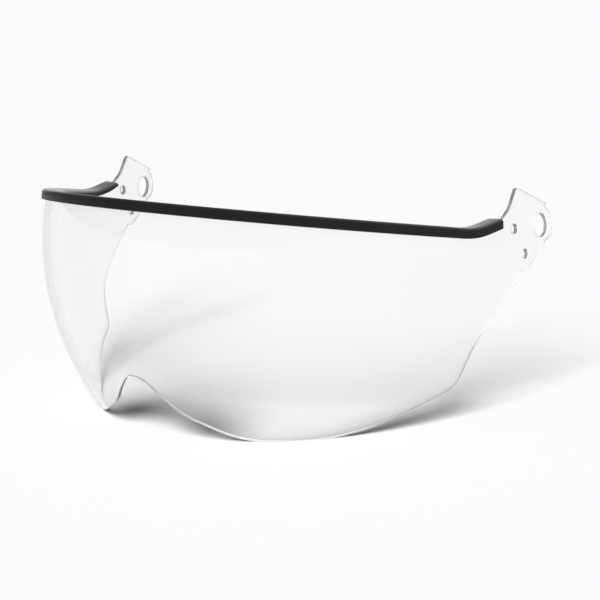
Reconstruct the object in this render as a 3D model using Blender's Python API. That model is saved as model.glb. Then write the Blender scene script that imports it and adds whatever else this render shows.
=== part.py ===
"""Clear half-face visor for a safety helmet: a moulded lens with flat ears, and a rubber seal on its brow edge."""
import math

import bmesh
import bpy
import numpy
from mathutils import Matrix, Vector
from mathutils.geometry import delaunay_2d_cdt

MM = 0.001

# Lens surface: an elliptical plan at the brow line, carried down on a circular drop profile.
LENS_THICKNESS = 2.0 * MM
PLAN_HALF_WIDTH = 95.5 * MM
PLAN_DEPTH = 124.0 * MM
DROP_RADIUS = 102.5 * MM
EQUATOR_DROP = 16.5 * MM
RAKE = 0.125

# The visor rests on its two lobes, leaning back.
LEAN = math.radians(9.2)
FOOT_TRIM = 1.0 * MM

# Half outline of the nose and lobe: (distance round the lens, height over the brow line, corner radius).
NOSE_DROP = 58.8 * MM
LOBE_DROP = 79.2 * MM
NOSE_AND_LOBE = (
    (3.6 * MM, -NOSE_DROP, 10.5 * MM),
    (18.8 * MM, 8.2 * MM - LOBE_DROP, 25.0 * MM),
    (46.0 * MM, -LOBE_DROP, 75.0 * MM),
    (80.0 * MM, 1.9 * MM - LOBE_DROP, 105.0 * MM),
    (103.0 * MM, 8.3 * MM - LOBE_DROP, 140.0 * MM),
    (137.0 * MM, 24.0 * MM - LOBE_DROP, 5.0 * MM),
    (141.3 * MM, 41.2 * MM - LOBE_DROP, 25.0 * MM),
)

# Each ear is flat from where the plan reaches this heading; its places are measured on from there.
EAR_HEADING = math.radians(80.6)
EAR_FLAT_DROP = 8.5 * MM
EAR_BLEND = 20.0 * MM
EAR_BLEND_LEAD = 12.0 * MM
PIVOT_AT = (32.5 * MM, 6.8 * MM)
PIVOT_DIAMETER = 9.2 * MM
PIVOT_WALL = 3.8 * MM
PIVOT_WALL_ARC = (math.radians(-25.0), math.radians(50.0))
PIN_HOLES_AT = ((14.8 * MM, 4.7 * MM), (21.6 * MM, -4.3 * MM))
PIN_HOLE_DIAMETER = 3.8 * MM
EAR_REAR = (
    (19.3 * MM, -10.8 * MM, 0.8 * MM),
    (22.8 * MM, -10.8 * MM, 0.8 * MM),
    (35.4 * MM, -0.4 * MM, 0.6 * MM),
    (36.0 * MM, 0.8 * MM, 0.6 * MM),
)
EAR_TOP = (
    (36.1 * MM, 13.9 * MM, 0.4 * MM),
    (36.8 * MM, 15.4 * MM, 0.7 * MM),
    (16.8 * MM, 20.2 * MM, 2.2 * MM),
    (12.4 * MM, 12.2 * MM, 8.0 * MM),
    (7.6 * MM, 8.0 * MM, 0.3 * MM),
)

# Brow line: level round the front, rising to the ears. The seal stops against a nub on the lens.
SEAL_END_AT = 5.0 * MM
BROW_RISE_LEAD = 15.5 * MM
BROW_RISE = 0.28
BROW_BEND_RADIUS = 50.0 * MM
NUB_HEIGHT = 1.3 * MM
NUB_ROUNDING = 0.3 * MM

# Seal section: a flat-topped channel pushed over the lens edge, thicker and shorter on its inner side.
SEAL_GAP = 0.3 * MM
EDGE_INTO_SEAL = 2.0 * MM
SEAL_OUTER_LEG = 1.3 * MM
SEAL_INNER_LEG = 2.9 * MM
SEAL_TOP_WALL = 1.55 * MM
SEAL_INNER_FOOT = 1.4 * MM
SEAL_CROWN_RADIUS = 0.9 * MM
SEAL_EDGE_RADIUS = 0.35 * MM

# The inner leg's foot rises towards both cut ends.
SEAL_TAPER_LENGTH = 7.0 * MM
SEAL_TAPER_RISE = 1.0 * MM

# Fineness of the surfaces.
GRID_STEP = 4.5 * MM
EDGE_STEP = 2.0 * MM
SEAL_STEP = 3.0 * MM
PIVOT_SIDES = 36
PIN_HOLE_SIDES = 24
ARC_SIDES = 12
ARC_TURN = math.radians(46.0)
TABLE_STEPS = 1200
NORMAL_STEP = 0.05 * MM
SMOOTH_ANGLE = math.radians(35.0)

# Shares: how much of an edge a rounded corner may take, and of a grid step the grid keeps off an edge.
CORNER_SHARE = 0.48
EDGE_SHARE = 0.6


def clear_scene():
    for item in list(bpy.data.objects):
        bpy.data.objects.remove(item, do_unlink=True)


def make_plan_table():
    """Distance round, position and heading along the elliptical half plan, as far as the ear."""
    angle = numpy.linspace(0.0, 0.5 * math.pi, TABLE_STEPS)
    x = PLAN_HALF_WIDTH * numpy.sin(angle)
    y = PLAN_DEPTH * (1.0 - numpy.cos(angle))
    heading = numpy.arctan2(PLAN_DEPTH * numpy.sin(angle), PLAN_HALF_WIDTH * numpy.cos(angle))
    steps = numpy.hypot(numpy.diff(x), numpy.diff(y))
    distance = numpy.concatenate(([0.0], numpy.cumsum(steps)))
    return distance, x, y, heading


PLAN_TABLE = make_plan_table()
EAR_START = float(numpy.interp(EAR_HEADING, PLAN_TABLE[3], PLAN_TABLE[0]))
SEAL_END = EAR_START + SEAL_END_AT
BROW_BEND = SEAL_END - BROW_RISE_LEAD
SEAL_HEIGHT = EDGE_INTO_SEAL + SEAL_GAP + SEAL_TOP_WALL


def plan_point(distance):
    """Point and outward direction on the brow-line plan; the ears carry on straight."""
    table, x, y, heading = PLAN_TABLE
    on_curve = min(abs(distance), EAR_START)
    beyond = abs(distance) - on_curve
    angle = float(numpy.interp(on_curve, table, heading))
    px = float(numpy.interp(on_curve, table, x)) + beyond * math.cos(angle)
    py = float(numpy.interp(on_curve, table, y)) + beyond * math.sin(angle)
    side = math.copysign(1.0, distance)
    return side * px, py, side * math.sin(angle), -math.cos(angle)


def drop_inset(distance, drop):
    """How far the surface has moved inwards at a given drop below the brow line."""
    blend = (abs(distance) - EAR_START + EAR_BLEND_LEAD + EAR_BLEND) / EAR_BLEND
    blend = min(max(blend, 0.0), 1.0)
    flat_drop = EAR_FLAT_DROP * blend * blend * (3.0 - 2.0 * blend)
    from_equator = drop - EQUATOR_DROP
    flat_from = flat_drop - EQUATOR_DROP
    at_brow = DROP_RADIUS - math.sqrt(DROP_RADIUS ** 2 - EQUATOR_DROP ** 2)
    if from_equator >= flat_from:
        return DROP_RADIUS - math.sqrt(DROP_RADIUS ** 2 - from_equator ** 2) - at_brow
    root = math.sqrt(DROP_RADIUS ** 2 - flat_from ** 2)
    return DROP_RADIUS - root + flat_from / root * (from_equator - flat_from) - at_brow


def outer_point(distance, height):
    """Point on the outer face of the lens."""
    x, y, normal_x, normal_y = plan_point(distance)
    inset = drop_inset(distance, -height)
    return Vector((x - normal_x * inset, y - normal_y * inset - RAKE * height, height))


def outer_normal(distance, height):
    """Outward direction of the lens surface."""
    along = outer_point(distance + NORMAL_STEP, height) - outer_point(distance - NORMAL_STEP, height)
    up = outer_point(distance, height + NORMAL_STEP) - outer_point(distance, height - NORMAL_STEP)
    return along.cross(up).normalized()


def shell_point(distance, height, outwards):
    """Point off the outer face by a distance along its own normal."""
    return outer_point(distance, height) + outer_normal(distance, height) * outwards


def rounded_corner(before, here, after, radius):
    """Points of the arc that replaces one corner."""
    back = before - here
    ahead = after - here
    half = 0.5 * back.angle(ahead)
    limit = CORNER_SHARE * min(back.length, ahead.length)
    reach = min(radius / math.tan(half), limit)
    real_radius = reach * math.tan(half)
    middle = (back.normalized() + ahead.normalized()).normalized()
    centre = here + middle * (real_radius / math.sin(half))
    start = here + back.normalized() * reach - centre
    sweep = start.angle_signed(here + ahead.normalized() * reach - centre)
    pieces = math.ceil(max(abs(sweep) * real_radius / EDGE_STEP, abs(sweep) / ARC_TURN))
    return [centre + Matrix.Rotation(-sweep * i / pieces, 2) @ start for i in range(pieces + 1)]


def rounded_path(corners, closed=False):
    """Path through corners given as (x, y, radius), with each corner rounded."""
    points = []
    for index, (x, y, radius) in enumerate(corners):
        here = Vector((x, y))
        at_end = not closed and index in (0, len(corners) - 1)
        if radius <= 0.0 or at_end:
            points.append(here)
            continue
        before = Vector(corners[index - 1][:2])
        after = Vector(corners[(index + 1) % len(corners)][:2])
        points.extend(rounded_corner(before, here, after, radius))
    return points


def split_long_edges(points):
    """The same closed loop with no edge longer than the edge step."""
    fine = []
    for index, point in enumerate(points):
        following = points[(index + 1) % len(points)]
        pieces = max(1, math.ceil((following - point).length / EDGE_STEP))
        for piece in range(pieces):
            fine.append(point.lerp(following, piece / pieces))
    return fine


def brow_height(distance):
    """Height of the brow line, level at the front and rising to the ears."""
    slope = math.atan(BROW_RISE)
    past = abs(distance) - BROW_BEND + BROW_BEND_RADIUS * math.tan(0.5 * slope)
    if past <= 0.0:
        return 0.0
    if past < BROW_BEND_RADIUS * math.sin(slope):
        return BROW_BEND_RADIUS - math.sqrt(BROW_BEND_RADIUS ** 2 - past ** 2)
    return BROW_RISE * (abs(distance) - BROW_BEND)


def on_ear(corners):
    """Corners measured from the start of the ear, as distances round the lens."""
    return tuple((EAR_START + corner[0], *corner[1:]) for corner in corners)


def pivot_arc():
    """Rounded rear end of the ear, with an even wall round the pivot hole."""
    centre = Vector(on_ear((PIVOT_AT,))[0])
    radius = 0.5 * PIVOT_DIAMETER + PIVOT_WALL
    first, last = PIVOT_WALL_ARC
    points = []
    for step in range(ARC_SIDES + 1):
        angle = first + (last - first) * step / ARC_SIDES
        points.append(centre + radius * Vector((math.cos(angle), math.sin(angle))))
    return points


def half_outline():
    """Half outline of the lens from the nose round the ear and back along the brow edge."""
    arc = pivot_arc()
    nose = NOSE_AND_LOBE[0]
    across_nose = (-nose[0], nose[1], 0.0)
    lower = rounded_path((across_nose,) + NOSE_AND_LOBE + on_ear(EAR_REAR) + ((*arc[0], 0.0),))[1:]
    nub = SEAL_END + SEAL_GAP
    edge = brow_height(nub) + EDGE_INTO_SEAL
    nub_corners = ((nub, edge + NUB_HEIGHT, NUB_ROUNDING), (nub, edge, 0.0))
    upper = rounded_path(((*arc[-1], 0.0),) + on_ear(EAR_TOP) + nub_corners)
    brow = []
    count = math.ceil(nub / EDGE_STEP)
    for step in range(1, count + 1):
        distance = nub * (1.0 - step / count)
        brow.append(Vector((distance, brow_height(distance) + EDGE_INTO_SEAL)))
    return lower + arc[1:-1] + upper + brow


def hole_loop(place, diameter, sides):
    """Points round a hole in the ear."""
    centre = Vector(on_ear((place,))[0])
    loop = []
    for step in range(sides):
        angle = 2.0 * math.pi * step / sides
        loop.append(centre + 0.5 * diameter * Vector((math.cos(angle), math.sin(angle))))
    return loop


def mirrored(loop):
    return [Vector((-point.x, point.y)) for point in reversed(loop)]


def lens_loops():
    """The full outline followed by the holes of both ears."""
    half = half_outline()
    loops = [split_long_edges(half + mirrored(half[:-1]))]
    holes = [hole_loop(PIVOT_AT, PIVOT_DIAMETER, PIVOT_SIDES)]
    for place in PIN_HOLES_AT:
        holes.append(hole_loop(place, PIN_HOLE_DIAMETER, PIN_HOLE_SIDES))
    for hole in holes:
        loops.append(hole)
        loops.append(mirrored(hole))
    return loops


def inside_loop(point, loop):
    """True where a point lies within a closed loop."""
    inside = False
    for index, first in enumerate(loop):
        second = loop[index - 1]
        if (first.y > point.y) != (second.y > point.y):
            crossing = first.x + (point.y - first.y) * (second.x - first.x) / (second.y - first.y)
            if point.x < crossing:
                inside = not inside
    return inside


def on_lens(point, loops):
    """True where a point of the layout lies on the lens and not in a hole."""
    return inside_loop(point, loops[0]) and not any(inside_loop(point, hole) for hole in loops[1:])


def grid_points(loops):
    """Even grid of points within the lens, kept clear of its edges."""
    rim = [corner for loop in loops for corner in loop]
    reach = max(corner.x for corner in rim)
    low = min(corner.y for corner in rim)
    high = max(corner.y for corner in rim)
    columns = math.ceil(reach / GRID_STEP)
    rows = math.ceil((high - low) / GRID_STEP)
    points = []
    for column in range(-columns, columns + 1):
        for row in range(1, rows):
            point = Vector((column * GRID_STEP, low + row * GRID_STEP))
            clear = min((point - corner).length for corner in rim) > EDGE_SHARE * GRID_STEP
            if clear and on_lens(point, loops):
                points.append(point)
    return points


def lens_layout():
    """Flat layout of the lens: its points and the triangles between them."""
    loops = lens_loops()
    points = []
    edges = []
    for loop in loops:
        start = len(points)
        points.extend(loop)
        edges.extend((start + i, start + (i + 1) % len(loop)) for i in range(len(loop)))
    points.extend(grid_points(loops))
    inside_constraints = 1
    layout, _, faces, *_ = delaunay_2d_cdt(points, edges, [], inside_constraints, 1e-9)
    triangles = []
    for face in faces:
        middle = sum((layout[i] for i in face), Vector((0.0, 0.0))) / 3.0
        if not any(inside_loop(middle, hole) for hole in loops[1:]):
            triangles.append(face)
    return layout, triangles


def make_lens_mesh():
    """Closed shell of the lens: outer face, inner face and the cut edges."""
    layout, triangles = lens_layout()
    mesh = bmesh.new()
    outer = [mesh.verts.new(shell_point(p.x, p.y, 0.0)) for p in layout]
    inner = [mesh.verts.new(shell_point(p.x, p.y, -LENS_THICKNESS)) for p in layout]
    edges = set()
    for a, b, c in triangles:
        mesh.faces.new((outer[a], outer[b], outer[c]))
        mesh.faces.new((inner[c], inner[b], inner[a]))
        edges.update(((a, b), (b, c), (c, a)))
    for a, b in sorted(edges):
        if (b, a) not in edges:
            mesh.faces.new((outer[b], outer[a], inner[a], inner[b]))
    bmesh.ops.recalc_face_normals(mesh, faces=mesh.faces)
    return mesh


def trim_feet(mesh, lean):
    """Cut both lobes level for the leaning visor; gives the height of the floor."""
    floor = min((lean @ vert.co).z for vert in mesh.verts) + FOOT_TRIM
    upwards = lean.inverted() @ Vector((0.0, 0.0, 1.0))
    cut = bmesh.ops.bisect_plane(
        mesh,
        geom=mesh.verts[:] + mesh.edges[:] + mesh.faces[:],
        dist=1e-7,
        plane_co=upwards * floor,
        plane_no=upwards,
        clear_inner=True,
    )
    rim = [item for item in cut["geom_cut"] if isinstance(item, bmesh.types.BMEdge)]
    bmesh.ops.edgeloop_fill(mesh, edges=rim)
    bmesh.ops.recalc_face_normals(mesh, faces=mesh.faces)
    return floor


def seal_section():
    """Section of the seal: points as (outwards from the lens face, height over the brow line)."""
    slot_inner = -LENS_THICKNESS - SEAL_GAP
    slot_top = EDGE_INTO_SEAL + SEAL_GAP
    outer = SEAL_GAP + SEAL_OUTER_LEG
    inner = slot_inner - SEAL_INNER_LEG
    corners = (
        (SEAL_GAP, 0.0, 0.0),
        (outer, 0.0, SEAL_EDGE_RADIUS),
        (outer, SEAL_HEIGHT, SEAL_CROWN_RADIUS),
        (inner, SEAL_HEIGHT, SEAL_CROWN_RADIUS),
        (inner, SEAL_INNER_FOOT, SEAL_EDGE_RADIUS),
        (slot_inner, SEAL_INNER_FOOT, SEAL_EDGE_RADIUS),
        (slot_inner, slot_top, 0.0),
        (SEAL_GAP, slot_top, 0.0),
    )
    return rounded_path(corners, closed=True)


def seal_point(distance, point):
    """Point of the seal at a station, with the inner foot raised near the cut ends."""
    height = brow_height(distance) + point.y
    on_foot = point.x < -LENS_THICKNESS and point.y < EDGE_INTO_SEAL
    past = abs(distance) - SEAL_END + SEAL_TAPER_LENGTH
    if on_foot and past > 0.0:
        height += SEAL_TAPER_RISE * (past / SEAL_TAPER_LENGTH) ** 2
    return shell_point(distance, height, point.x)


def make_seal_mesh():
    """Seal section swept along the brow edge, closed at both cut ends."""
    section = seal_section()
    stations = 2 * math.ceil(SEAL_END / SEAL_STEP)
    mesh = bmesh.new()
    rings = []
    for station in range(stations + 1):
        distance = SEAL_END * (2.0 * station / stations - 1.0)
        rings.append([mesh.verts.new(seal_point(distance, point)) for point in section])
    for first, second in zip(rings, rings[1:]):
        for i in range(len(section)):
            j = (i + 1) % len(section)
            mesh.faces.new((first[i], second[i], second[j], first[j]))
    mesh.faces.new(rings[0])
    mesh.faces.new(reversed(rings[-1]))
    bmesh.ops.recalc_face_normals(mesh, faces=mesh.faces)
    return mesh


def plain_material(name, colour, roughness, transmission, ior):
    material = bpy.data.materials.new(name)
    material.use_nodes = True
    shader = material.node_tree.nodes["Principled BSDF"]
    shader.inputs["Base Color"].default_value = (*colour, 1.0)
    shader.inputs["Metallic"].default_value = 0.0
    shader.inputs["Roughness"].default_value = roughness
    shader.inputs["Transmission Weight"].default_value = transmission
    shader.inputs["IOR"].default_value = ior
    return material


def add_object(name, mesh, material, parent):
    bmesh.ops.triangulate(mesh, faces=mesh.faces)
    data = bpy.data.meshes.new(name)
    mesh.to_mesh(data)
    mesh.free()
    data.shade_smooth()
    data.set_sharp_from_angle(angle=SMOOTH_ANGLE)
    data.materials.append(material)
    item = bpy.data.objects.new(name, data)
    item.parent = parent
    bpy.context.scene.collection.objects.link(item)


def make_stand(meshes, lean, floor):
    """Empty that leans the visor back, with the bottom centre of its box at the origin."""
    depths = [(lean @ vert.co).y for mesh in meshes for vert in mesh.verts]
    stand = bpy.data.objects.new("stand", None)
    stand.rotation_euler = (-LEAN, 0.0, 0.0)
    stand.location = (0.0, -0.5 * (min(depths) + max(depths)), -floor)
    bpy.context.scene.collection.objects.link(stand)
    return stand


def main():
    clear_scene()
    lean = Matrix.Rotation(-LEAN, 3, "X")
    lens = make_lens_mesh()
    floor = trim_feet(lens, lean)
    seal = make_seal_mesh()
    stand = make_stand((lens, seal), lean, floor)
    clear = plain_material("clear_polycarbonate", (0.97, 0.98, 0.98), 0.04, 1.0, 1.58)
    black = plain_material("black_rubber", (0.015, 0.015, 0.016), 0.5, 0.0, 1.5)
    add_object("lens", lens, clear, stand)
    add_object("brow_seal", seal, black, stand)


main()
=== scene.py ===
# Clear helmet visor with a black rubber brow seal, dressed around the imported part
import math

import bmesh
import bpy
from mathutils import Matrix, Vector
from mathutils.kdtree import KDTree


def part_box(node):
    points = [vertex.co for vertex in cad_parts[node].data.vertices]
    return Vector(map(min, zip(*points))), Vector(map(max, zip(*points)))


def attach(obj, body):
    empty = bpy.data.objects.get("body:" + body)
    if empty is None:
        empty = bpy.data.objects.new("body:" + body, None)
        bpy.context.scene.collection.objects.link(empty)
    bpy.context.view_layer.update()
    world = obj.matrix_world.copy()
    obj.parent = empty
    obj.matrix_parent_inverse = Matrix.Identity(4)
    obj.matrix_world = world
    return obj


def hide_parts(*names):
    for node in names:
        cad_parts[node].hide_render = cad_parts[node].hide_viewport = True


mm = 0.001
tiny = {
    "cut": 1e-7,
    "weld": 1e-6,
    "grid": 1e-4,  # share of a grid step
    "level": 0.999,  # least upright share of a level face's normal
}

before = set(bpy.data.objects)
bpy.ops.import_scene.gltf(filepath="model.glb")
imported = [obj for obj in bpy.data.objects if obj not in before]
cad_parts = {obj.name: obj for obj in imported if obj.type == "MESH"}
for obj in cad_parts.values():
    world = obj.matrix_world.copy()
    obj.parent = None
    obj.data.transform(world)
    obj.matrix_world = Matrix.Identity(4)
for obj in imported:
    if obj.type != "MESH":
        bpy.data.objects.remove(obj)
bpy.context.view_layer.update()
print("frame loaded:", sorted(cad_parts))

# Both pieces are cut flat, as (distance round the lens, height over the brow line, way out), then wrapped

headForm = {
    "planHalfWidth": 95.5 * mm,
    "planDepth": 124.0 * mm,
    "dropRadius": 102.5 * mm,
    "equatorDrop": 16.5 * mm,
    "rake": 0.125,
    "lean": math.radians(9.2),
    "earHeading": math.radians(80.6),
    "earFlatDrop": 8.5 * mm,
    "earBlend": 20.0 * mm,
    "earBlendLead": 12.0 * mm,
    "planSteps": 1200,
    "normalStep": 0.05 * mm,
}


def makePlan(form):  # distance, x, y and heading along half of the elliptical plan
    plan = []
    distance = 0.0
    for step in range(form["planSteps"] + 1):
        angle = 0.5 * math.pi * step / form["planSteps"]
        x = form["planHalfWidth"] * math.sin(angle)
        y = form["planDepth"] * (1.0 - math.cos(angle))
        heading = math.atan2(form["planDepth"] * math.sin(angle), form["planHalfWidth"] * math.cos(angle))
        if plan:
            distance += math.hypot(x - plan[-1][1], y - plan[-1][2])
        plan.append((distance, x, y, heading))
        if heading > form["earHeading"]:
            break
    return plan


plan = makePlan(headForm)
earStart = plan[-1][0]


def smoothStep(share):  # eases in and out between 0 and 1
    return share * share * (3.0 - 2.0 * share)


def onPlan(distance):  # place on the plan and the way out of it; the ears carry on straight
    reach = min(abs(distance), earStart)
    low, high = 0, len(plan) - 1
    while high - low > 1:
        middle = (low + high) // 2
        if plan[middle][0] > reach:
            high = middle
        else:
            low = middle
    first, second = plan[low], plan[high]
    share = (reach - first[0]) / (second[0] - first[0])
    x, y, heading = (first[i] + share * (second[i] - first[i]) for i in (1, 2, 3))
    beyond = abs(distance) - reach
    x += beyond * math.cos(heading)
    y += beyond * math.sin(heading)
    side = math.copysign(1.0, distance)
    return Vector((side * x, y, 0.0)), Vector((side * math.sin(heading), -math.cos(heading), 0.0))


def onLens(distance, height):  # outer face of the lens
    form = headForm
    place, outwards = onPlan(distance)
    blend = (abs(distance) - earStart + form["earBlendLead"] + form["earBlend"]) / form["earBlend"]
    blend = min(max(blend, 0.0), 1.0)
    radius = form["dropRadius"]
    below = -height - form["equatorDrop"]
    flatFrom = form["earFlatDrop"] * smoothStep(blend) - form["equatorDrop"]
    held = max(below, flatFrom)
    root = math.sqrt(radius ** 2 - held ** 2)
    inset = math.sqrt(radius ** 2 - form["equatorDrop"] ** 2) - root + held / root * (below - held)
    return place - outwards * inset + Vector((0.0, -form["rake"] * height, height))


def lensAxes(distance, height):  # directions along the lens, up it and out of it
    step = headForm["normalStep"]
    along = (onLens(distance + step, height) - onLens(distance - step, height)).normalized()
    up = (onLens(distance, height + step) - onLens(distance, height - step)).normalized()
    out = along.cross(up).normalized()
    return along, out.cross(along), out


leanBack = Matrix.Rotation(-headForm["lean"], 3, "X")


def wrapPiece(bm):  # flat layout to its curved, leaning place; the layout stays as an attribute
    layout = bm.verts.layers.float_vector.new("layout")
    for vert in bm.verts:
        distance, height, out = vert.co
        vert[layout] = vert.co
        vert.co = leanBack @ (onLens(distance, height) + lensAxes(distance, height)[2] * out)


def sliceAt(bm, axis, distance):  # one cut square to an axis
    place = Vector((0.0, 0.0, 0.0))
    place[axis] = distance
    direction = Vector((0.0, 0.0, 0.0))
    direction[axis] = 1.0
    everything = bm.verts[:] + bm.edges[:] + bm.faces[:]
    bmesh.ops.bisect_plane(bm, geom=everything, dist=tiny["cut"], plane_co=place, plane_no=direction)


def sliceAcross(bm, axis, low, high, step):  # cuts at even steps along an axis
    for count in range(math.ceil(low / step), math.floor(high / step) + 1):
        sliceAt(bm, axis, count * step)


cornerRounding = {
    "edgeShare": 0.48,  # the most of an edge that one corner may take
    "pieceLength": 1.0 * mm,
    "fewestPieces": 3,
}


def roundCorners(bm, corners):  # corners are (vertex, radius)
    for vert, radius in corners:
        if radius <= 0.0:
            continue
        first, second = (edge.other_vert(vert).co - vert.co for edge in vert.link_edges)
        half = 0.5 * first.angle(second)
        reach = min(radius / math.tan(half), cornerRounding["edgeShare"] * min(first.length, second.length))
        arc = (math.pi - 2.0 * half) * reach * math.tan(half)
        pieces = max(cornerRounding["fewestPieces"], math.ceil(arc / cornerRounding["pieceLength"]))
        bmesh.ops.bevel(bm, geom=[vert], offset=reach, offset_type="ABSOLUTE", segments=pieces,
                        profile=0.5, affect="VERTICES", material=-1)


def addPiece(name, bm, materials, node):
    data = bpy.data.meshes.new(name)
    bm.to_mesh(data)
    bm.free()
    data.shade_smooth()
    for material in materials:
        data.materials.append(material)
    piece = bpy.data.objects.new(name, data)
    bpy.context.scene.collection.objects.link(piece)
    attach(piece, "root")
    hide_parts(node)
    return piece


# Shared grain: fine speckle and slow cloud over a piece's flat layout

grainNoise = {
    "detail": {"Fine": 3.0, "Cloud": 2.0},
    "spread": (0.3, 0.7),  # where most of the noise lies
}


def makeGrain():
    group = bpy.data.node_groups.new("surfaceGrain", "ShaderNodeTree")
    group.interface.new_socket("Vector", in_out="INPUT", socket_type="NodeSocketVector")
    for name in grainNoise["detail"]:
        group.interface.new_socket(name + " Scale", in_out="INPUT", socket_type="NodeSocketFloat")
        group.interface.new_socket(name, in_out="OUTPUT", socket_type="NodeSocketFloat")
    entry = group.nodes.new("NodeGroupInput")
    leave = group.nodes.new("NodeGroupOutput")
    for name, detail in grainNoise["detail"].items():
        noise = group.nodes.new("ShaderNodeTexNoise")
        noise.inputs["Detail"].default_value = detail
        group.links.new(entry.outputs["Vector"], noise.inputs["Vector"])
        group.links.new(entry.outputs[name + " Scale"], noise.inputs["Scale"])
        group.links.new(noise.outputs["Fac"], leave.inputs[name])
    return group


grain = makeGrain()


def newMaterial(name):
    material = bpy.data.materials.new(name)
    material.use_nodes = True
    nodes, links = material.node_tree.nodes, material.node_tree.links
    shader = nodes["Principled BSDF"]
    shader.inputs["Metallic"].default_value = 0.0
    return material, nodes, links, shader


def addGrain(nodes, links, vector, scales):  # scales are (fine, cloud)
    node = nodes.new("ShaderNodeGroup")
    node.node_tree = grain
    node.inputs["Fine Scale"].default_value, node.inputs["Cloud Scale"].default_value = scales
    links.new(vector, node.inputs["Vector"])
    return node


def addAttribute(nodes, name):
    node = nodes.new("ShaderNodeAttribute")
    node.attribute_name = name
    return node


def addMath(nodes, links, operation, first, second):  # second is a number or a socket
    node = nodes.new("ShaderNodeMath")
    node.operation = operation
    links.new(first, node.inputs[0])
    if isinstance(second, bpy.types.NodeSocket):
        links.new(second, node.inputs[1])
    else:
        node.inputs[1].default_value = second
    return node


def addRange(nodes, links, value, fromRange, toRange):
    node = nodes.new("ShaderNodeMapRange")
    node.inputs["From Min"].default_value, node.inputs["From Max"].default_value = fromRange
    node.inputs["To Min"].default_value, node.inputs["To Max"].default_value = toRange
    links.new(value, node.inputs["Value"])
    return node


def addRoughness(nodes, links, shader, noise, roughness):  # roughness is (smoothest, roughest)
    spread = addRange(nodes, links, noise, grainNoise["spread"], roughness)
    links.new(spread.outputs["Result"], shader.inputs["Roughness"])


def addBump(nodes, links, shader, height, bump):  # bump is (strength, distance)
    node = nodes.new("ShaderNodeBump")
    node.inputs["Strength"].default_value, node.inputs["Distance"].default_value = bump
    links.new(height, node.inputs["Height"])
    links.new(node.outputs["Normal"], shader.inputs["Normal"])


def addColourMix(nodes, links, factor, first, second):  # second is a colour or a socket
    node = nodes.new("ShaderNodeMix")
    node.data_type = "RGBA"
    links.new(factor, node.inputs[0])
    node.inputs[6].default_value = (*first, 1.0)  # inputs 6 and 7 are the two colours
    if isinstance(second, bpy.types.NodeSocket):
        links.new(second, node.inputs[7])
    else:
        node.inputs[7].default_value = (*second, 1.0)
    return node.outputs[2]  # the mixed colour


print("shared grain ready")

# Lens

lensCut = {
    "thickness": 2.0 * mm,
    "rim": 0.3 * mm,
    "rimSteps": ((0.3, 0.7), (0.7, 0.3)),  # shares of the rim, inwards and up
    "grid": 2.0 * mm,
    # corners in mm, as (distance, height, radius); corners and holes of the ear count from its start
    "noseAndLobe": [(3.6, -58.8, 10.5), (18.8, -71.0, 25.0), (46.0, -79.2, 75.0), (80.0, -77.3, 105.0),
                    (103.0, -70.9, 140.0), (137.0, -55.2, 5.0), (141.3, -38.0, 25.0)],
    "earRear": [(19.3, -10.8, 0.8), (22.8, -10.8, 0.8), (35.4, -0.4, 0.6), (36.0, 0.8, 0.6)],
    "earTop": [(36.1, 13.9, 0.4), (36.8, 15.4, 0.7), (16.8, 20.2, 2.2), (12.4, 12.2, 8.0), (7.6, 8.0, 0.3)],
    "pivot": (32.5, 6.8),
    "pivotRadius": 4.6 * mm,
    "pivotWall": 3.8 * mm,
    "pivotArc": (math.radians(-25.0), math.radians(50.0)),
    "arcSteps": 24,
    "pins": [(14.8, 4.7), (21.6, -4.3)],
    "pinRadius": 1.9 * mm,
    "holeSides": 64,
    "edgeHeight": 2.0 * mm,
    "nubHeight": 1.3 * mm,
    "nubRounding": 0.3 * mm,
    "ior": 1.58,
    "clearTint": (0.955, 0.959, 0.96),
    "clarity": 0.97,
    "faceGrain": (900.0, 60.0),
    "faceRoughness": (0.006, 0.022),
    "faceBump": (0.05, 0.05 * mm),
    # painted light and shade of the cut edges: grey painted shade on walls seen from outside, bright painted
    # glow on rims and on walls seen through the sheet
    "paintedWallShadeLight": (0.24, 0.245, 0.245),
    "paintedWallShadeDark": (0.16, 0.165, 0.165),
    "paintedEdgeGlow": (0.9, 0.905, 0.905),
    "edgeTransmission": 0.55,
    "paintedGlowStrength": 0.11,
    "edgeGrain": (2500.0, 250.0),
    "edgeRoughness": (0.3, 0.5),
    "edgeBump": (0.2, 0.03 * mm),
    # light that a face lets pass into the shadow
    "shadowFacing": 0.985,
    "shadowGrazing": 0.9,
    "shadowLowEdge": 0.02,
    # the lower edge's own shade, which grows where the edge lifts off the floor
    "lowEdgeBelow": 56.0 * mm,
    "lowEdgeReach": 28.0 * mm,
    "lowEdgeFill": 2.6,
    "lowEdgeLift": 9.0 * mm,
    "footReach": 10.0 * mm,
    "footShade": 0.15,
}

browLine = {
    "sealEnd": 5.0 * mm,
    "riseLead": 15.5 * mm,
    "rise": 0.28,
    "bendRadius": 50.0 * mm,
    "nubGap": 0.3 * mm,
}

sealEnd = earStart + browLine["sealEnd"]
browBend = sealEnd - browLine["riseLead"]


def browHeight(distance):  # level round the front, rising to the ears
    slope = math.atan(browLine["rise"])
    radius = browLine["bendRadius"]
    past = abs(distance) - browBend + radius * math.tan(0.5 * slope)
    if past <= 0.0:
        return 0.0
    if past < radius * math.sin(slope):
        return radius - math.sqrt(radius ** 2 - past ** 2)
    return browLine["rise"] * (abs(distance) - browBend)


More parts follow.
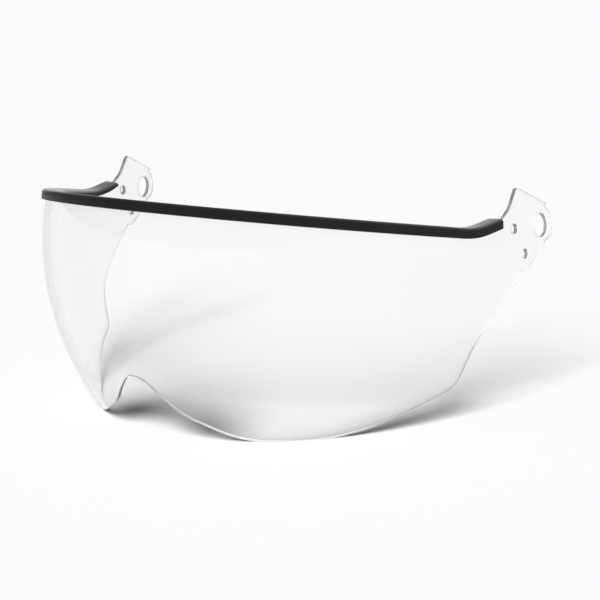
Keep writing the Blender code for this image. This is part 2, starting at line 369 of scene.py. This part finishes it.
def lensCorners():  # half of the outline, nose to brow, as (distance, height, radius)
    cut = lensCut
    front = [(x * mm, y * mm, r * mm) for x, y, r in cut["noseAndLobe"]]
    rear = [(earStart + x * mm, y * mm, r * mm) for x, y, r in cut["earRear"]]
    top = [(earStart + x * mm, y * mm, r * mm) for x, y, r in cut["earTop"]]
    centre = Vector((earStart + cut["pivot"][0] * mm, cut["pivot"][1] * mm))
    wall = cut["pivotRadius"] + cut["pivotWall"]
    first, last = cut["pivotArc"]
    arc = []
    for step in range(cut["arcSteps"] + 1):
        angle = first + (last - first) * step / cut["arcSteps"]
        arc.append((centre.x + wall * math.cos(angle), centre.y + wall * math.sin(angle), 0.0))
    nub = sealEnd + browLine["nubGap"]
    edge = browHeight(nub) + cut["edgeHeight"]
    stop = [(nub, edge + cut["nubHeight"], cut["nubRounding"]), (nub, edge, 0.0)]
    bend = [(browBend, cut["edgeHeight"], browLine["bendRadius"])]
    return front + rear + arc + top + stop + bend


def cutSheet(bm):  # flat outline with rounded corners and the ear holes
    cut = lensCut
    half = lensCorners()
    corners = half + [(-x, y, r) for x, y, r in reversed(half)]
    verts = [bm.verts.new((x, y, 0.0)) for x, y, r in corners]
    bm.faces.new(verts)
    roundCorners(bm, [(vert, corner[2]) for vert, corner in zip(verts, corners)])
    bmesh.ops.delete(bm, geom=bm.faces[:], context="FACES_ONLY")
    holes = [(cut["pivot"], cut["pivotRadius"])] + [(pin, cut["pinRadius"]) for pin in cut["pins"]]
    for side in (1.0, -1.0):
        for place, radius in holes:
            centre = Matrix.Translation((side * (earStart + place[0] * mm), place[1] * mm, 0.0))
            bmesh.ops.create_circle(bm, segments=cut["holeSides"], radius=radius, matrix=centre)
    bmesh.ops.triangle_fill(bm, use_beauty=True, edges=bm.edges[:], normal=(0.0, 0.0, 1.0))


def leftoverEdges(bm, step):  # flat edges that are not on a grid line
    found = []
    for edge in bm.edges:
        if len(edge.link_faces) != 2 or max(abs(vert.co.z) for vert in edge.verts) > tiny["cut"]:
            continue
        if min(face.normal.z for face in edge.link_faces) < tiny["level"]:
            continue
        first, second = (vert.co / step for vert in edge.verts)
        onColumn = abs(first.x - round(first.x)) < tiny["grid"] and abs(second.x - first.x) < tiny["grid"]
        onRow = abs(first.y - round(first.y)) < tiny["grid"] and abs(second.y - first.y) < tiny["grid"]
        if not onColumn and not onRow:
            found.append(edge)
    return found


def cutLens():
    cut = lensCut
    bm = bmesh.new()
    sawn = bm.faces.layers.float.new("sawn")
    cutSheet(bm)
    sheet = bm.faces[:]
    # rounded rim in two steps, then an even grid over the sheet
    for inwards, rise in cut["rimSteps"]:
        ring = bmesh.ops.inset_region(bm, faces=sheet, thickness=inwards * cut["rim"],
                                      depth=rise * cut["rim"], use_boundary=True, use_even_offset=True)
        for face in ring["faces"]:
            face.material_index = 1
    bmesh.ops.translate(bm, verts=bm.verts, vec=(0.0, 0.0, -cut["rim"]))
    reach = max(vert.co.x for vert in bm.verts)
    lowest = min(vert.co.y for vert in bm.verts)
    highest = max(vert.co.y for vert in bm.verts)
    sliceAcross(bm, 0, -reach, reach, cut["grid"])
    sliceAcross(bm, 1, lowest, highest, cut["grid"])
    bmesh.ops.dissolve_edges(bm, edges=leftoverEdges(bm, cut["grid"]), use_verts=True)
    # inner face, and the wall between the two rims
    copy = bmesh.ops.duplicate(bm, geom=bm.verts[:] + bm.edges[:] + bm.faces[:])["geom"]
    inner = [item for item in copy if isinstance(item, bmesh.types.BMVert)]
    innerFaces = [item for item in copy if isinstance(item, bmesh.types.BMFace)]
    copied = set(copy)
    rimEdges = [edge for edge in bm.edges if edge.is_boundary and edge not in copied]
    bmesh.ops.scale(bm, verts=inner, vec=(1.0, 1.0, -1.0))
    bmesh.ops.translate(bm, verts=inner, vec=(0.0, 0.0, -cut["thickness"]))
    bmesh.ops.reverse_faces(bm, faces=innerFaces)
    wall = bmesh.ops.extrude_edge_only(bm, edges=rimEdges)["geom"]
    wallVerts = [item for item in wall if isinstance(item, bmesh.types.BMVert)]
    bmesh.ops.translate(bm, verts=wallVerts, vec=(0.0, 0.0, 2.0 * cut["rim"] - cut["thickness"]))
    for item in wall:
        if isinstance(item, bmesh.types.BMFace):
            item.material_index = 1
            item[sawn] = 1.0
    bmesh.ops.remove_doubles(bm, verts=bm.verts, dist=tiny["weld"])
    bmesh.ops.recalc_face_normals(bm, faces=bm.faces)
    print("lens cut:", len(bm.faces), "faces")
    return bm


def lowEdgeShade(distance, height):  # distance to the lower edge, and the edge's height over its lowest point
    cut = lensCut
    lift = min(height / cut["lowEdgeLift"], 1.0)
    reach = cut["footReach"] + (cut["lowEdgeReach"] - cut["footReach"]) * lift
    near = min(max(0.0, cut["lowEdgeFill"] * (1.0 - distance / reach)), 1.0)
    return smoothStep(near) * (cut["footShade"] + (1.0 - cut["footShade"]) * lift)


def markLens(bm):  # keeps the flat shading direction, and how much the lower edge shades each point
    cut = lensCut
    shade = bm.verts.layers.float_vector.new("shade")
    lowEdge = bm.verts.layers.float.new("lowEdge")
    bm.normal_update()
    onRim = [min(-vert.co.z, cut["thickness"] + vert.co.z) > tiny["weld"] for vert in bm.verts]
    rim = [vert.co for vert, rimmed in zip(bm.verts, onRim) if rimmed and vert.co.y < -cut["lowEdgeBelow"]]
    lowest = min(place.y for place in rim)
    tree = KDTree(len(rim))
    for index, place in enumerate(rim):
        tree.insert(place, index)
    tree.balance()
    for vert, rimmed in zip(bm.verts, onRim):
        edge, _, distance = tree.find(vert.co)
        vert[lowEdge] = lowEdgeShade(distance, edge.y - lowest)
        vert[shade] = vert.normal if rimmed else Vector((0.0, 0.0, round(vert.normal.z)))


def standShift(bm, box):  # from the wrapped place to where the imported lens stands
    middle = 0.5 * (min(v.co.y for v in bm.verts) + max(v.co.y for v in bm.verts))
    top = max(v.co.z for v in bm.verts)
    return Vector((0.0, 0.5 * (box[0].y + box[1].y) - middle, box[1].z - top))


def trimFeet(bm):  # the lower edges are cut level with the floor
    everything = bm.verts[:] + bm.edges[:] + bm.faces[:]
    cut = bmesh.ops.bisect_plane(bm, geom=everything, dist=tiny["cut"], plane_co=(0.0, 0.0, 0.0),
                                 plane_no=(0.0, 0.0, 1.0), clear_inner=True)["geom_cut"]
    rim = [item for item in cut if isinstance(item, bmesh.types.BMEdge)]
    feet = bmesh.ops.edgeloop_fill(bm, edges=rim)["faces"]
    bmesh.ops.triangulate(bm, faces=feet)
    bmesh.ops.recalc_face_normals(bm, faces=bm.faces)


def lensNormals(bm):  # one for each face corner: flat on the feet, true to the form elsewhere
    layout = bm.verts.layers.float_vector["layout"]
    shade = bm.verts.layers.float_vector["shade"]
    turned = {}
    for vert in bm.verts:
        along, up, out = lensAxes(*vert[layout][:2])
        flat = vert[shade]
        turned[vert] = (leanBack @ (along * flat.x + up * flat.y + out * flat.z)).normalized()
    normals = []
    for face in bm.faces:
        onFloor = max(vert.co.z for vert in face.verts) < tiny["weld"]
        normals.extend(face.normal.copy() if onFloor else turned[vert] for vert in face.verts)
    return normals


def clearLens():
    cut = lensCut
    material, nodes, links, shader = newMaterial("clearPolycarbonate")
    shader.inputs["IOR"].default_value = cut["ior"]
    shader.inputs["Transmission Weight"].default_value = cut["clarity"]
    shader.inputs["Base Color"].default_value = (*cut["clearTint"], 1.0)
    # polished faces with a little handling haze
    speckle = addGrain(nodes, links, addAttribute(nodes, "layout").outputs["Vector"], cut["faceGrain"])
    addRoughness(nodes, links, shader, speckle.outputs["Cloud"], cut["faceRoughness"])
    addBump(nodes, links, shader, speckle.outputs["Cloud"], cut["faceBump"])
    # light into the shadow is dimmed where it grazes the sheet, and most near the raised lower edge
    facing = nodes.new("ShaderNodeLayerWeight").outputs["Facing"]
    passed = (cut["shadowFacing"], cut["shadowGrazing"])
    grazing = addRange(nodes, links, facing, (0.0, 1.0), passed)
    lowEdge = addAttribute(nodes, "lowEdge").outputs["Fac"]
    dimmed = addRange(nodes, links, lowEdge, (0.0, 1.0), (1.0, cut["shadowLowEdge"]))
    links.new(grazing.outputs["Result"], dimmed.inputs["To Min"])
    clear = nodes.new("ShaderNodeBsdfTransparent")
    links.new(dimmed.outputs["Result"], clear.inputs["Color"])
    path = nodes.new("ShaderNodeLightPath")
    mix = nodes.new("ShaderNodeMixShader")
    links.new(path.outputs["Is Shadow Ray"], mix.inputs[0])
    links.new(shader.outputs[0], mix.inputs[1])
    links.new(clear.outputs[0], mix.inputs[2])
    links.new(mix.outputs[0], nodes["Material Output"].inputs["Surface"])
    return material


def sawnEdgeWithPaintedGlow():  # matt cut edge with painted light: its rims glow, and its walls are painted grey shade where seen from outside
    cut = lensCut
    material, nodes, links, shader = newMaterial("sawnPolycarbonateEdgePaintedGlow")
    shader.inputs["IOR"].default_value = cut["ior"]
    shader.inputs["Transmission Weight"].default_value = cut["edgeTransmission"]
    # painted glow: the cut edges emit light though they are no lamp
    shader.inputs["Emission Strength"].default_value = cut["paintedGlowStrength"]
    speckle = addGrain(nodes, links, addAttribute(nodes, "layout").outputs["Vector"], cut["edgeGrain"])
    addRoughness(nodes, links, shader, speckle.outputs["Fine"], cut["edgeRoughness"])
    addBump(nodes, links, shader, speckle.outputs["Fine"], cut["edgeBump"])
    # painted grey shade of the walls, varied at random by the speckle cloud
    tint = addColourMix(nodes, links, speckle.outputs["Cloud"], cut["paintedWallShadeDark"], cut["paintedWallShadeLight"])
    # painted highlight on the rims and painted glow on walls seen through the sheet; walls seen from outside
    # get a painted grey shade
    sawn = addAttribute(nodes, "sawn").outputs["Fac"]
    backfacing = nodes.new("ShaderNodeNewGeometry").outputs["Backfacing"]
    outside = addMath(nodes, links, "SUBTRACT", sawn, backfacing)
    outside.use_clamp = True
    shown = addColourMix(nodes, links, outside.outputs[0], cut["paintedEdgeGlow"], tint)
    links.new(shown, shader.inputs["Base Color"])
    links.new(shown, shader.inputs["Emission Color"])
    return material


lensMesh = cutLens()
markLens(lensMesh)
wrapPiece(lensMesh)
shift = standShift(lensMesh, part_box("lens"))
bmesh.ops.translate(lensMesh, verts=lensMesh.verts, vec=shift)
trimFeet(lensMesh)
lensShading = lensNormals(lensMesh)
lens = addPiece("clear_lens", lensMesh, [clearLens(), sawnEdgeWithPaintedGlow()], "lens")
lens.data.normals_split_custom_set(lensShading)
print("lens wrapped and stood, shift", [round(v, 6) for v in shift])

# Brow seal

sealSection = {
    "gap": 0.05 * mm,
    "outerLeg": 1.55 * mm,
    "innerLeg": 3.15 * mm,
    "edgeInto": 2.0 * mm,
    "height": 3.85 * mm,
    "innerFoot": 1.4 * mm,
    "crownRadius": 0.9 * mm,
    "edgeRadius": 0.35 * mm,
    "slice": 1.5 * mm,
    "taperLength": 7.0 * mm,
    "taperRise": 1.0 * mm,
    "endRounding": 0.8 * mm,
    "endSlices": (0.04, 0.15, 0.35, 0.65, 1.0),  # shares of the end rounding
    "sharpAngle": math.radians(50.0),
    "darkTint": (0.0055, 0.0055, 0.0058),
    "dustTint": (0.011, 0.011, 0.0113),
    "specular": 0.12,
    "roughness": (0.42, 0.56),
    "streakStretch": (0.03, 1.0, 1.0),
    "streakGrain": (1800.0, 500.0),
    "speckleGrain": (4500.0, 120.0),
    "bump": (0.35, 0.04 * mm),
    "crownFrom": 3.2 * mm,
    "crownCoat": 0.8,
    "crownCoatRoughness": 0.18,
}


def shapeSealEnd(point):  # raises the inner foot and rounds the crown near both cut ends
    section = sealSection
    slotTop = section["edgeInto"] + section["gap"]
    fromEnd = max(sealEnd - abs(point.x), 0.0)
    onFoot = point.z < -lensCut["thickness"] and point.y < section["edgeInto"]
    if onFoot and fromEnd < section["taperLength"]:
        point.y += section["taperRise"] * (1.0 - fromEnd / section["taperLength"]) ** 2
    if point.y > slotTop and fromEnd < section["endRounding"]:
        radius = section["endRounding"]
        drop = radius - math.sqrt(radius ** 2 - (radius - fromEnd) ** 2)
        point.y -= drop * (point.y - slotTop) / (section["height"] - slotTop)


def extrudeSeal():
    section = sealSection
    slotIn = -lensCut["thickness"] - section["gap"]
    slotTop = section["edgeInto"] + section["gap"]
    outer = section["gap"] + section["outerLeg"]
    inner = slotIn - section["innerLeg"]
    corners = [  # way out, height and radius
        (section["gap"], 0.0, 0.0),
        (outer, 0.0, section["edgeRadius"]),
        (outer, section["height"], section["crownRadius"]),
        (inner, section["height"], section["crownRadius"]),
        (inner, section["innerFoot"], section["edgeRadius"]),
        (slotIn, section["innerFoot"], section["edgeRadius"]),
        (slotIn, slotTop, 0.0),
        (section["gap"], slotTop, 0.0),
    ]
    bm = bmesh.new()
    verts = [bm.verts.new((-sealEnd, height, out)) for out, height, radius in corners]
    bm.faces.new(verts)
    roundCorners(bm, [(vert, corner[2]) for vert, corner in zip(verts, corners)])
    made = bmesh.ops.extrude_face_region(bm, geom=bm.faces[:], use_keep_orig=True)["geom"]
    far = [item for item in made if isinstance(item, bmesh.types.BMVert)]
    bmesh.ops.translate(bm, verts=far, vec=(2.0 * sealEnd, 0.0, 0.0))
    bmesh.ops.recalc_face_normals(bm, faces=bm.faces)
    sliceAcross(bm, 0, -sealEnd, sealEnd, section["slice"])
    for share in section["endSlices"]:
        for side in (1.0, -1.0):
            sliceAt(bm, 0, side * (sealEnd - share * section["endRounding"]))
    crown = bm.verts.layers.float.new("crown")
    for vert in bm.verts:
        vert[crown] = 1.0 if vert.co.y > section["crownFrom"] else 0.0
        shapeSealEnd(vert.co)
        vert.co.y += browHeight(vert.co.x)
    print("seal extruded:", len(bm.faces), "faces")
    return bm


def sealRubber():
    section = sealSection
    material, nodes, links, shader = newMaterial("blackRubber")
    shader.inputs["Specular IOR Level"].default_value = section["specular"]
    shader.inputs["Coat Roughness"].default_value = section["crownCoatRoughness"]
    # extrusion streaks run along the seal, over a fine even grain
    layout = addAttribute(nodes, "layout").outputs["Vector"]
    along = nodes.new("ShaderNodeMapping")
    along.inputs["Scale"].default_value = section["streakStretch"]
    links.new(layout, along.inputs["Vector"])
    streaks = addGrain(nodes, links, along.outputs["Vector"], section["streakGrain"])
    speckle = addGrain(nodes, links, layout, section["speckleGrain"])
    tint = addColourMix(nodes, links, speckle.outputs["Cloud"], section["darkTint"], section["dustTint"])
    links.new(tint, shader.inputs["Base Color"])
    addRoughness(nodes, links, shader, streaks.outputs["Cloud"], section["roughness"])
    height = addMath(nodes, links, "ADD", streaks.outputs["Fine"], speckle.outputs["Fine"])
    addBump(nodes, links, shader, height.outputs[0], section["bump"])
    # the crown is rubbed smooth
    crown = addAttribute(nodes, "crown").outputs["Fac"]
    polish = addMath(nodes, links, "MULTIPLY", crown, section["crownCoat"])
    links.new(polish.outputs[0], shader.inputs["Coat Weight"])
    return material


sealMesh = extrudeSeal()
wrapPiece(sealMesh)
bmesh.ops.translate(sealMesh, verts=sealMesh.verts, vec=shift)
seal = addPiece("brow_seal_rubber", sealMesh, [sealRubber()], "brow_seal")
seal.data.set_sharp_from_angle(angle=sealSection["sharpAngle"])
print("seal wrapped onto the brow edge")

# Floor, light and camera

studio = {
    "floorSize": 40.0,
    "floorDrop": 0.05 * mm,
    "floorTint": (0.975, 0.975, 0.975),
    "floorRoughness": 0.9,
    "ambient": 0.06,
    "lampFrom": (0.232, -0.764, 0.602),
    "lampAngle": math.radians(30.0),
    "lampEnergy": 4.85,
    # the room that the pieces mirror is white on one side and dims towards the other
    "whiteSide": (0.6, 0.8, 0.0),
    "whiteFrom": 0.6,
    "darkFrom": -0.5,
    "darkLevel": 0.3,
}


def makeFloor():
    bm = bmesh.new()
    bmesh.ops.create_grid(bm, x_segments=1, y_segments=1, size=studio["floorSize"])
    bmesh.ops.translate(bm, verts=bm.verts, vec=(0.0, 0.0, -studio["floorDrop"]))
    data = bpy.data.meshes.new("floor")
    bm.to_mesh(data)
    bm.free()
    paint, nodes, links, shader = newMaterial("paleFloor")
    shader.inputs["Base Color"].default_value = (*studio["floorTint"], 1.0)
    shader.inputs["Roughness"].default_value = studio["floorRoughness"]
    shader.inputs["Specular IOR Level"].default_value = 0.0
    data.materials.append(paint)
    floor = bpy.data.objects.new("floor", data)
    bpy.context.scene.collection.objects.link(floor)


def makeWorld():  # white to look at and through the lens, a dimming room in reflections, faint as a light
    world = bpy.data.worlds.new("studio")
    world.use_nodes = True
    bpy.context.scene.world = world
    nodes, links = world.node_tree.nodes, world.node_tree.links
    path = nodes.new("ShaderNodeLightPath").outputs
    side = nodes.new("ShaderNodeVectorMath")
    side.operation = "DOT_PRODUCT"
    side.inputs[1].default_value = studio["whiteSide"]
    links.new(nodes.new("ShaderNodeTexCoord").outputs["Generated"], side.inputs[0])
    dimming = (studio["darkFrom"], studio["whiteFrom"])
    room = addRange(nodes, links, side.outputs["Value"], dimming, (studio["darkLevel"], 1.0))
    mirrored = addMath(nodes, links, "MULTIPLY", path["Is Glossy Ray"], room.outputs["Result"])
    through = addMath(nodes, links, "MAXIMUM", path["Is Camera Ray"], path["Is Transmission Ray"])
    seen = addMath(nodes, links, "MAXIMUM", mirrored.outputs[0], through.outputs[0])
    # light that has left the floor or the rubber meets the faint level, also behind the lens
    direct = addRange(nodes, links, path["Diffuse Depth"], (0.0, 1.0), (1.0, 0.0))
    shown = addMath(nodes, links, "MULTIPLY", seen.outputs[0], direct.outputs["Result"])
    strength = addMath(nodes, links, "MAXIMUM", shown.outputs[0], studio["ambient"])
    nodes["Background"].inputs["Color"].default_value = (1.0, 1.0, 1.0, 1.0)
    links.new(strength.outputs[0], nodes["Background"].inputs["Strength"])


def makeLamp():
    sun = bpy.data.lights.new("frontSoftbox", "SUN")
    sun.energy = studio["lampEnergy"]
    sun.angle = studio["lampAngle"]
    lamp = bpy.data.objects.new("frontSoftbox", sun)
    lamp.rotation_euler = Vector(studio["lampFrom"]).to_track_quat("Z", "Y").to_euler()
    lamp.visible_glossy = False  # the room alone is mirrored
    lamp.visible_transmission = False  # what passes the lens is already in its shadow
    bpy.context.scene.collection.objects.link(lamp)


makeFloor()
makeWorld()
makeLamp()

# The view is given round the level brow, before the visor leans back
view = {
    "place": (311.3 * mm, -364.36 * mm, 13.89 * mm),
    "aim": (15.66 * mm, 94.39 * mm, -31.05 * mm),
    "up": (0.0, -0.15988, 0.98714),
    "focal": 83.66,
    "sensor": 36.0,
    "clipStart": 0.01,
}


def makeCamera():
    camera = bpy.data.cameras.new("camera")
    camera.lens = view["focal"]
    camera.sensor_width = view["sensor"]
    camera.clip_start = view["clipStart"]
    back = (leanBack @ (Vector(view["place"]) - Vector(view["aim"]))).normalized()
    right = (leanBack @ Vector(view["up"])).cross(back).normalized()
    turn = Matrix((right, back.cross(right), back)).transposed()
    viewer = bpy.data.objects.new("camera", camera)
    viewer.location = leanBack @ Vector(view["place"]) + shift
    viewer.rotation_euler = turn.to_euler()
    bpy.context.scene.collection.objects.link(viewer)
    bpy.context.scene.camera = viewer


makeCamera()
bpy.context.scene.view_settings.view_transform = "Standard"
print("studio ready")
